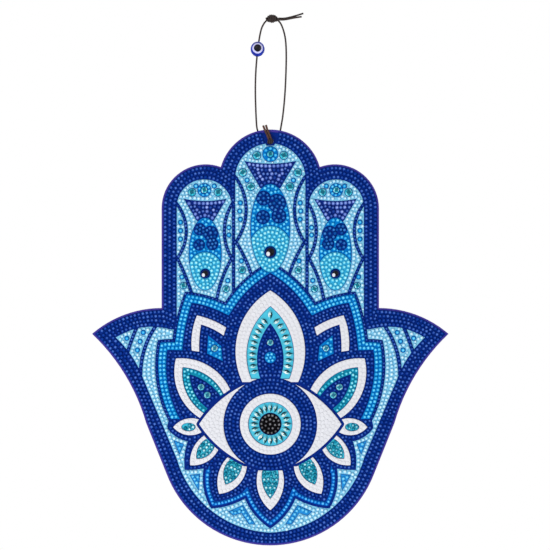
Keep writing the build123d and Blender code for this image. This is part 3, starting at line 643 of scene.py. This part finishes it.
def depth_in(edges, step):
    """How far each spot of a fine grid lies inside the outline: 0 outside it."""
    low, high = edges.min((0, 1)) - 2 * step, edges.max((0, 1)) + 2 * step
    across, up = np.arange(low[0], high[0], step), np.arange(low[1], high[1], step)
    start, end = edges[:, 0], edges[:, 1]
    inside = np.zeros((len(up), len(across)), bool)
    for row, z in enumerate(up):
        hit = (start[:, 1] > z) != (end[:, 1] > z)
        if hit.any():
            share = (z - start[hit, 1]) / (end[hit, 1] - start[hit, 1])
            crossings = np.sort(start[hit, 0] + share * (end[hit, 0] - start[hit, 0]))
            inside[row] = np.searchsorted(crossings, across) % 2 == 1
    depth = np.zeros(inside.shape)
    found = np.argwhere(inside)
    along = end - start
    length = np.maximum((along ** 2).sum(1), 1e-12)
    for part in np.array_split(found, max(1, len(found) * len(edges) // pairs_at_once)):
        spots = np.stack([across[part[:, 1]], up[part[:, 0]]], 1)[:, None] - start
        share = np.clip((spots * along).sum(2) / length, 0, 1)[:, :, None]
        depth[part[:, 0], part[:, 1]] = np.hypot(*np.moveaxis(spots - share * along, 2, 0)).min(1)
    return across, up, depth


def rows_at(level, across, up, depth):
    """The closed lines at one depth, as arrays of (x, z) points."""
    above = depth > level
    mixed = above[:-1, :-1].astype(int) + above[:-1, 1:] + above[1:, 1:] + above[1:, :-1]
    links, spots = {}, {}

    def crossing(row, column, upright):
        key = (row, column, upright)
        if key not in spots:
            first = depth[row, column]
            second = depth[row + 1, column] if upright else depth[row, column + 1]
            share = (level - first) / (second - first)
            x = across[column] + (0 if upright else share * (across[1] - across[0]))
            z = up[row] + (share * (up[1] - up[0]) if upright else 0)
            spots[key] = (x, z)
        return key

    for row, column in np.argwhere((mixed > 0) & (mixed < 4)):
        cell = [*above[row, column:column + 2], *above[row + 1, column:column + 2][::-1]]
        met = []
        if cell[0] != cell[1]:
            met.append(crossing(row, column, False))
        if cell[1] != cell[2]:
            met.append(crossing(row, column + 1, True))
        if cell[2] != cell[3]:
            met.append(crossing(row + 1, column, False))
        if cell[3] != cell[0]:
            met.append(crossing(row, column, True))
        if len(met) == 4 and cell[0]:
            met = [met[3], met[0], met[1], met[2]]
        for first, second in zip(met[::2], met[1::2]):
            links.setdefault(first, []).append(second)
            links.setdefault(second, []).append(first)
    lines, used = [], set()
    for first in links:
        if first in used:
            continue
        line, at = [], first
        while at is not None:
            used.add(at)
            line.append(spots[at])
            at = next((spot for spot in links[at] if spot not in used), None)
        lines.append(np.array(line))
    return lines


def even_places(line):
    """Places along a closed line, as near to the pitch as a whole number of stones allows."""
    closed = np.vstack([line, line[:1]])
    run = np.concatenate([[0], np.cumsum(np.hypot(*np.diff(closed, axis=0).T))])
    if run[-1] < two_stone_line * stone_pitch:
        return [(*line.mean(0), 0.0)]
    count = max(2, round(run[-1] / stone_pitch))
    marks = np.arange(count) * run[-1] / count
    ahead = (marks + look_ahead * stone_pitch) % run[-1]
    x, z = (np.interp(marks, run, closed[:, axis]) for axis in (0, 1))
    dx, dz = (np.interp(ahead, run, closed[:, axis]) for axis in (0, 1))
    return [(*place, math.atan2(*way)) for place, way in zip(zip(x, z), zip(dx - x, dz - z))]


def settle(laid, held, spots):
    """Moves each loose stone to the middle of the space nearest to it, a few times over."""
    for _ in range(settle_rounds if held < len(laid) else 0):
        near = places_tree(laid)
        owner = np.array([near.find((x, 0.0, z))[1] for x, z in spots])
        count = np.bincount(owner, minlength=len(laid))
        middle = np.stack([np.bincount(owner, spots[:, axis], len(laid)) for axis in (0, 1)], 1)
        loose = (np.arange(len(laid)) >= held) & (count > 0)
        laid[loose, :2] = middle[loose] / count[loose, None]
    return laid


def places_tree(laid):
    near = KDTree(len(laid))
    for at, (x, z, *_) in enumerate(laid):
        near.insert((x, 0.0, z), at)
    near.balance()
    return near


def fill_field(node, shallowest):
    """Rows of stones that follow the field's outline, then loose stones that share the space left over.

    Gives (x, z, turn, width) for each stone. One is smaller where neighbours or the outline leave less room.
    """
    across, up, depth = depth_in(outline_of(node), stone_pitch * field_step)
    deepest = depth.max()
    laid = np.empty((0, 3))
    level = min(stone_pitch / 2, narrow_depth * deepest)
    held = 0
    while level < deepest:
        for line in rows_at(level, across, up, depth):
            for x, z, way in even_places(line):
                if not len(laid) or np.hypot(laid[:, 0] - x, laid[:, 1] - z).min() > row_gap * stone_pitch:
                    laid = np.vstack([laid, (x, z, way)])
        held = held or len(laid)
        level += stone_pitch
    spots = np.argwhere(depth > 0)
    room = depth[spots[:, 0], spots[:, 1]]
    spots = np.stack([across[spots[:, 1]], up[spots[:, 0]]], 1)
    nearest = np.full(len(spots), 2 * stone_pitch)
    for x, z, _ in laid:
        nearest = np.minimum(nearest, np.hypot(spots[:, 0] - x, spots[:, 1] - z))
    while True:
        free = (nearest > loose_gap * stone_pitch) & (room > shallowest * stone_pitch)
        if not free.any():
            break
        score = np.where(free, nearest - edge_pull * np.minimum(room, stone_pitch / 2), np.inf)
        x, z = spots[score.argmin()]
        laid = np.vstack([laid, (x, z, 0.0)])
        nearest = np.minimum(nearest, np.hypot(spots[:, 0] - x, spots[:, 1] - z))
    laid = settle(laid, held, spots)
    near = places_tree(laid)
    widths = []
    for x, z, _ in laid:
        apart = near.find_n((x, 0.0, z), 2)[-1][2] if len(laid) > 1 else stone_pitch
        row = round((z - up[0]) / (up[1] - up[0]))
        column = round((x - across[0]) / (across[1] - across[0]))
        widths.append(min(stone_width, touching * apart, 2 * depth[row, column] + stone_overhang))
    return np.column_stack([laid, widths])


sheet_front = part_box("printed_sheet")[0].y / MM
stone_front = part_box("border_stones")[0].y / MM


def closed_film(name, fronts, backs, sides, *finishes):
    """A thin closed piece between two like sets of points. The triangles are given as on its back."""
    count = len(fronts)
    faces = sides[:, ::-1].tolist() + (sides + count).tolist()
    faces += [(a, b, b + count, a + count) for a, b in rim_of(sides)]
    mesh = bpy.data.meshes.new(name)
    mesh.from_pydata([tuple(value * MM for value in spot) for spot in [*fronts, *backs]], [], faces)
    return new_piece(name, mesh, *finishes)


def printed_film(name, points, sides, front, *finishes):
    """A film on the printed sheet, up to a given front."""
    fronts, backs = ([(x, y, z) for x, z in points] for y in (front, sheet_front))
    return closed_film(name, fronts, backs, sides, *finishes)


def field_ground(node, front):
    """The field's printed ground, with the plate's outline."""
    return printed_film("ground_of_" + node, *back_of(node), front)


def stone_places(spots, front):
    return [(x, front, z, way, width, front - stone_front, width) for x, z, way, width in spots]


def stone_field(node, finish, ground_finish, seed, keep=None, part="", stone=small_stone,
                rise=ground_height, shallowest=loose_depth):
    """A field of small stones that stands for the plate of that name."""
    spots = fill_field(node, shallowest)
    if keep is not None:
        spots = np.array([spot for spot in spots if keep(spot)])
    front = sheet_front - rise
    places = stone_places(spots, front)
    ground = None if part else field_ground(node, front)
    piece = set_stones(node + part + "_set", places, stone, finish, ground, ground_finish, seed=seed)
    if ground:
        bpy.data.objects.remove(ground)
    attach(piece, "hand")
    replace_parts(piece, node)


light_blue_fields = [
    "left_finger_ground", "middle_finger_ground", "right_finger_ground", "thumb_ground", "palm_ground"]
navy_fields = ["border_stones", "lotus_ground", "eye_ring", "centre_petal_core", "side_petal_core"]
sky_blue_fields = [
    "lotus_band", "finger_flowers", "centre_petal_flower", "accent_stones", "fish_backs", "upper_petal_patch"]
white_fields = [
    "eye_white", "eye_white_ring", "centre_petal_white", "side_petal_white", "upper_petal_white",
    "lower_petal_white"]
for number, node in enumerate(light_blue_fields):
    stone_field(node, light_blue_stone, light_blue_film, seed=10 + number)
for number, node in enumerate(navy_fields):
    stone_field(node, navy_stone, navy_film, seed=20 + number)
for number, node in enumerate(sky_blue_fields):
    stone_field(node, sky_blue_stone, sky_blue_film, seed=30 + number)
for number, node in enumerate(white_fields):
    stone_field(
        node, white_stone, white_film, seed=40 + number, stone=wide_stone, rise=white_rise)
stone_field("lower_petal_row", row_stone, row_film, seed=46)
stone_field("palm_patches", patch_stone, patch_film, seed=47)
stone_field("line_stones", navy_stone, navy_film, seed=48, shallowest=line_depth)
stone_field("fish_spots", deep_blue_stone, navy_film, seed=49)
stone_field("fish_bellies", cyan_stone, cyan_film, seed=50)
stone_field("side_petal_teal", teal_stone, teal_film, seed=51)
stone_field("lower_petal_teal", petal_stone, petal_film, seed=52)
stone_field("pupil_stones", black_stone, black_film, seed=53)


# Fish tails: indigo, with a lilac row along the top and three short rays


tails = []
for solid in solids_of("fish_tails"):
    tails.append((solid[:, 0].mean(), solid[:, 2].max(), np.ptp(solid[:, 0]) / 2))


def is_lilac(spot):
    x, z, half = min(tails, key=lambda tail: abs(tail[0] - spot[0]))
    drop, aside = z - spot[1], (spot[0] - x) / half
    if drop < lilac_row + lilac_dip * (1 - abs(aside)):
        return True
    off_ray = min(abs(abs(aside) - outer_ray + outer_ray_slope * drop), abs(aside - middle_ray))
    return ray_start < drop < ray_end and off_ray < ray_half_width


def is_indigo(spot):
    return not is_lilac(spot)


stone_field("fish_tails", tail_stone, tail_film, seed=54, keep=is_indigo)
stone_field("fish_tails", lilac_stone, tail_film, seed=55, keep=is_lilac, part="_rays")


# Crystals


def crystal_places(node):
    """Where each crystal of the node lies, how it is turned, and its size."""
    places = []
    for solid in solids_of(node):
        low, high = solid.min(0), solid.max(0)
        flat = solid[:, [0, 2]] - (low + high)[[0, 2]] / 2
        way = np.linalg.eigh(flat.T @ flat)[1][:, 1]
        long, wide = np.ptp(flat @ way), np.ptp(flat @ np.array([-way[1], way[0]]))
        turn = -math.atan2(way[1], way[0]) if long > pointed_from * wide else gem_turn * len(places)
        middle = (low + high) / 2
        places.append((middle[0], high[1], middle[2], turn, long, high[1] - low[1], wide))
    return places


round_sets = {
    "finger_crystals": round_crystal, "flower_crystals": round_crystal, "petal_crystals": bright_crystal}
for number, (node, finish) in enumerate(round_sets.items()):
    places = crystal_places(node)
    piece = set_stones(node + "_set", places, round_gem, finish, lean=round_gem_lean, seed=60 + number)
    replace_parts(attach(piece, "hand"), node)
for number, node in enumerate(["iris_crystals", "centre_petal_crystals"]):
    places = crystal_places(node)
    piece = set_stones(node + "_set", places, boat_gem, pointed_crystal, lean=boat_gem_lean, seed=70 + number)
    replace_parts(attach(piece, "hand"), node)
for template in (small_stone, wide_stone, round_gem, boat_gem):
    bpy.data.objects.remove(template)


# Printed sheet: violet at the bare rim, navy inside the border


def loops_of(edges):
    """The outline's closed loops, each as its points in order."""
    ways = {}
    for a, b in edges:
        ways.setdefault(tuple(a), []).append(tuple(b))
        ways.setdefault(tuple(b), []).append(tuple(a))
    loops, used = [], set()
    for first in ways:
        if first in used:
            continue
        loop, at = [], first
        while at is not None:
            used.add(at)
            loop.append(at)
            at = next((spot for spot in ways[at] if spot not in used), None)
        loops.append(loop)
    return loops


def inner_print():
    """A navy print on all that lies inside the bare rim, but for the cord's hole."""
    rim = (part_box("printed_sheet")[1].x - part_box("border_stones")[1].x) / MM
    across, up, depth = depth_in(outline_of("printed_sheet"), rim_step)
    lines = sorted(rows_at(rim, across, up, depth), key=len)[-1:]
    lines += sorted(loops_of(outline_of("printed_sheet")), key=len)[:-1]
    points = np.array([spot for line in lines for spot in line])
    sides = np.array(tessellate_polygon([[Vector((x, z, 0.0)) for x, z in line] for line in lines]))
    first = points[sides[:, 1]] - points[sides[:, 0]]
    second = points[sides[:, 2]] - points[sides[:, 0]]
    if (first[:, 1] * second[:, 0] - first[:, 0] * second[:, 1]).sum() < 0:
        sides = sides[:, ::-1]
    return printed_film("inner_print", points, sides, sheet_front - print_height, navy_film)


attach(inner_print(), "hand")


# Plain CAD pieces and their finishes


def dress(node, finish):
    nodes[node].data.materials.clear()
    nodes[node].data.materials.append(finish)


dress("board", fibreboard)
dress("printed_sheet", violet_film)
dress("iris_bed", aqua_film)
dress("centre_petal_bed", aqua_film)
dress("fish_eyes", dark_dome)
dress("bead_glass", blue_glass)
dress("bead_rings", white_glass)
dress("bead_pupils", black_glass)


def eye_flecks():
    """A painted highlight: a white patch low on the left of each fish eye, lying on the dome."""
    fronts, backs, sides = [], [], []
    for solid in solids_of("fish_eyes"):
        low, high = solid.min(0), solid.max(0)
        half, rise = (high[0] - low[0]) / 2, high[1] - low[1]
        ball = (half ** 2 + rise ** 2) / (2 * rise)
        middle = Vector(((low[0] + high[0]) / 2, low[1] + ball, (low[2] + high[2]) / 2))
        first = len(fronts)
        for ring in range(highlight_patch_rings + 1):
            for step in range(highlight_patch_sides if ring else 1):
                angle = 2 * math.pi * step / highlight_patch_sides
                aside = half * (highlight_patch_place[0] + highlight_patch_size[0] * ring / highlight_patch_rings * math.cos(angle))
                up = half * (highlight_patch_place[1] + highlight_patch_size[1] * ring / highlight_patch_rings * math.sin(angle))
                out = math.sqrt(ball ** 2 - aside ** 2 - up ** 2)
                fronts.append(middle + Vector((aside, -out - highlight_patch_height, up)))
                backs.append(middle + Vector((aside, -out, up)))
        for ring in range(highlight_patch_rings):
            inner, outer = first + 1 + (ring - 1) * highlight_patch_sides, first + 1 + ring * highlight_patch_sides
            for step in range(highlight_patch_sides):
                after = (step + 1) % highlight_patch_sides
                sides.append((outer + after, outer + step, inner + step if ring else first))
                if ring:
                    sides.append((inner + after, outer + after, inner + step))
    piece = closed_film("eye_flecks", fronts, backs, np.array(sides), white_film)
    piece.data.polygons.foreach_set("use_smooth", [True] * len(piece.data.polygons))
    return piece


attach(eye_flecks(), "hand")


# Cords


def route(points):
    """Points along the smooth line that the cord's route gives."""
    curve = bpy.data.curves.new("route", "CURVE")
    curve.dimensions = "3D"
    curve.resolution_u = route_steps
    spline = curve.splines.new("NURBS")
    spline.points.add(len(points) - 1)
    for spot, point in zip(spline.points, points):
        spot.co = (*(value * MM for value in point), 1.0)
    spline.order_u = 3
    spline.use_endpoint_u = True
    guide = bpy.data.objects.new("route", curve)
    scene.collection.objects.link(guide)
    line = [vertex.co.copy() for vertex in plain_mesh(guide).vertices]
    bpy.data.objects.remove(guide)
    return line


def tube(name, line, width, finish):
    """A round cord along the line, with closed ends and a map that runs along it."""
    befores, afters = [line[0]] + line[:-1], line[1:] + [line[-1]]
    ways = [(after - before).normalized() for before, after in zip(befores, afters)]
    side = ways[0].orthogonal().normalized()
    corners, faces, maps = [], [], []
    run = 0.0
    runs = []
    for number, (spot, way) in enumerate(zip(line, ways)):
        side = (side - way * side.dot(way)).normalized()
        other = way.cross(side)
        run += (spot - line[number - 1]).length if number else 0.0
        runs.append(run)
        for step in range(cord_sides):
            angle = 2 * math.pi * step / cord_sides
            corners.append(spot + (side * math.cos(angle) + other * math.sin(angle)) * (width * MM / 2))
    for number in range(len(line) - 1):
        for step in range(cord_sides):
            after = (step + 1) % cord_sides
            low, high = number * cord_sides, (number + 1) * cord_sides
            faces.append((low + step, low + after, high + after, high + step))
            here, there = runs[number], runs[number + 1]
            ends = [(step, here), (step + 1, here), (step + 1, there), (step, there)]
            maps.extend((turn / cord_sides, along / (MM * width * math.pi)) for turn, along in ends)
    last = (len(line) - 1) * cord_sides
    faces.append(tuple(reversed(range(cord_sides))))
    faces.append(tuple(range(last, last + cord_sides)))
    maps.extend([(0.0, 0.0)] * (2 * cord_sides))
    mesh = bpy.data.meshes.new(name)
    mesh.from_pydata(corners, [], faces)
    mesh.polygons.foreach_set("use_smooth", [True] * (len(faces) - 2) + [False, False])
    mesh.uv_layers.new(name="along_cord").data.foreach_set("uv", np.array(maps).ravel())
    return new_piece(name, mesh, finish)


def turns(first_x, last_x, middle, first, crest, last, count, phase):
    """The turns of a knot round the X axis. Their radius goes from first over the crest to last."""
    spots = []
    steps = round(turn_points * count)
    for step in range(steps + 1):
        share = step / steps
        plain = first + (last - first) * share
        radius = plain + (crest - (first + last) / 2) * math.sin(math.pi * share)
        angle = phase + 2 * math.pi * count * share
        x = first_x + (last_x - first_x) * share
        spots.append((x, middle[0] + radius * math.cos(angle), middle[1] + radius * math.sin(angle)))
    return spots


left_points = [
    (-0.75, -6.4, -81.1), (-0.75, -2.0, -81.1), (-0.75, 0.1, -81.1), (-2.8, 0.1, -79.8), (-7.6, 0.0, -77.0),
    (-9.3, 0.0, -72.15), (-9.65, 0.0, -68.0), (-10.05, 0.0, -60.0), (-10.5, 0.0, -44.5), (-9.95, 0.0, -29.0),
    (-8.37, 0.0, -14.0), (-6.6, 0.0, -3.5), (-4.5, 0.4, 1.0), (-3.0, 0.7, 2.6),
]
left_points += turns(
    -2.1, 4.6, middle=(0.0, 4.2), first=1.1, crest=2.4, last=1.3, count=3.0, phase=math.radians(345))
left_points += [
    (5.1, 1.2, 4.45), (6.2, 0.9, 4.6), (7.9, 0.5, 4.4), (11.0, 0.5, 4.6), (17.2, 0.4, 6.1), (22.9, 0.2, 7.9),
]
right_points = [
    (0.75, -6.4, -81.1), (0.75, -2.0, -81.1), (0.75, 0.1, -81.1), (2.6, 0.1, -79.6), (6.2, 0.0, -76.8),
    (7.2, 0.0, -72.15), (7.7, 0.0, -69.0), (8.7, 0.0, -63.5), (10.2, 0.0, -48.5), (11.0, 0.0, -30.0),
    (11.1, 0.0, -17.0), (10.3, 0.0, -7.5), (7.6, 0.0, 0.6), (5.0, 0.0, 3.4), (1.4, 0.0, 4.2),
    (-0.9, 0.4, 4.3), (-1.9, 0.4, 4.5), (-2.7, -0.4, 4.5), (-2.8, -1.4, 4.1), (-2.5, -1.7, 3.4),
    (-2.0, -1.2, 2.75),
]
right_points += turns(
    -1.54, 4.6, middle=(0.0, 4.2), first=1.8, crest=2.4, last=0.8, count=2.75, phase=math.radians(255))
right_points += [
    (5.0, -0.85, 3.9), (5.9, -0.8, 3.4), (8.0, -0.4, 3.3), (11.0, -0.5, 3.5), (17.2, -0.4, 4.9),
    (21.7, -0.2, 5.5),
]
stopper_points = turns(
    -1.65, 1.65, middle=(-6.4, -81.7), first=1.0, crest=1.4, last=1.0, count=2.75, phase=math.radians(200))
left_tail_points = [(-0.75, -6.4, -81.1), (-1.6, -5.2, -77.9), (-3.6, -5.2, -74.1), (-4.9, -5.2, -70.5)]
right_tail_points = [(0.75, -6.4, -81.1), (0.0, -5.2, -77.9), (-1.9, -5.2, -74.1), (-3.0, -5.2, -70.1)]
left_line, right_line = route(left_points), route(right_points)
left_cord = tube("left_cord", left_line, cord_width, brown_cord)
right_cord = tube("right_cord", right_line, cord_width, brown_cord)
stopper = tube("stopper_turns", route(stopper_points), cord_width, brown_cord)
left_tail = tube("left_tail", route(left_tail_points), tail_width, tail_cord)
right_tail = tube("right_tail", route(right_tail_points), tail_width, tail_cord)
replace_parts(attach(stopper, "hand"), "stopper_knot")
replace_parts(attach(left_tail, "hand"), "left_front_tail")
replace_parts(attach(right_tail, "hand"), "right_front_tail")
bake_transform(left_cord)
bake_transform(right_cord)
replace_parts(left_cord, "left_strand", "left_anchor", "upper_tail", "top_knot")
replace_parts(right_cord, "right_strand", "right_anchor", "lower_tail")


# Studio


def white_room():
    """Soft light from all sides, and plain white to the eye and in what shines."""
    world = bpy.data.worlds.new("studio")
    scene.world = world
    world.use_nodes = True
    tree = world.node_tree
    tree.nodes.clear()
    out = tree.nodes.new("ShaderNodeOutputWorld")
    soft = tree.nodes.new("ShaderNodeBackground")
    soft.inputs["Color"].default_value = (1.0, 1.0, 1.0, 1.0)
    soft.inputs["Strength"].default_value = room_light
    white = tree.nodes.new("ShaderNodeBackground")
    white.inputs["Color"].default_value = (1.0, 1.0, 1.0, 1.0)
    rays = tree.nodes.new("ShaderNodeLightPath")
    seen = tree.nodes.new("ShaderNodeMath")
    seen.operation = "MAXIMUM"
    tree.links.new(rays.outputs["Is Camera Ray"], seen.inputs[0])
    through = tree.nodes.new("ShaderNodeMath")
    through.operation = "MAXIMUM"
    tree.links.new(rays.outputs["Is Glossy Ray"], through.inputs[0])
    tree.links.new(rays.outputs["Is Transmission Ray"], through.inputs[1])
    tree.links.new(through.outputs[0], seen.inputs[1])
    mixed = tree.nodes.new("ShaderNodeMixShader")
    tree.links.new(seen.outputs[0], mixed.inputs[0])
    tree.links.new(soft.outputs[0], mixed.inputs[1])
    tree.links.new(white.outputs[0], mixed.inputs[2])
    tree.links.new(mixed.outputs[0], out.inputs["Surface"])


def softbox(name, place, size, power, aim=ornament_middle):
    lamp = bpy.data.lights.new(name, "AREA")
    lamp.size = size
    lamp.energy = power
    box = bpy.data.objects.new(name, lamp)
    scene.collection.objects.link(box)
    box.location = place
    box.rotation_euler = (Vector(aim) - Vector(place)).to_track_quat("-Z", "Y").to_euler()


def floor():
    """A round pale floor, far below the ornament."""
    pale = Finish("pale_floor")
    pale.colour(pale.ramp(pale.noise(scale=2.0), (0.3, paint(243, 243, 243)), (0.7, paint(247, 247, 247))))
    pale.set(Roughness=0.8)
    mesh = bpy.data.meshes.new("floor")
    corners = []
    for step in range(floor_sides):
        angle = 2 * math.pi * step / floor_sides
        corners.append((floor_radius * math.cos(angle), floor_radius * math.sin(angle), floor_level))
    mesh.from_pydata(corners, [], [tuple(range(floor_sides))])
    return new_piece("floor", mesh, pale.material)


def front_camera():
    lens = bpy.data.cameras.new("camera")
    lens.lens = camera_lens
    lens.sensor_width = camera_film
    camera = bpy.data.objects.new("camera", lens)
    scene.collection.objects.link(camera)
    camera.location = camera_place
    camera.rotation_euler = (math.radians(90.0), 0.0, 0.0)
    scene.camera = camera


white_room()
softbox("low_left_light", place=(-0.75, -1.0, -0.85), size=0.5, power=10.2)
softbox("high_left_light", place=(-0.5, -1.2, 0.5), size=0.9, power=2.8)
softbox("right_light", place=(1.0, -1.0, 0.0), size=1.0, power=2.8)
softbox("back_light", place=(0.3, 1.3, 0.4), size=1.2, power=9.0)
softbox("floor_light", place=(0.0, 0.0, -1.0), size=9.4, power=100.0, aim=(0.0, 0.0, floor_level))
floor()
front_camera()
scene.view_settings.view_transform = "Standard"
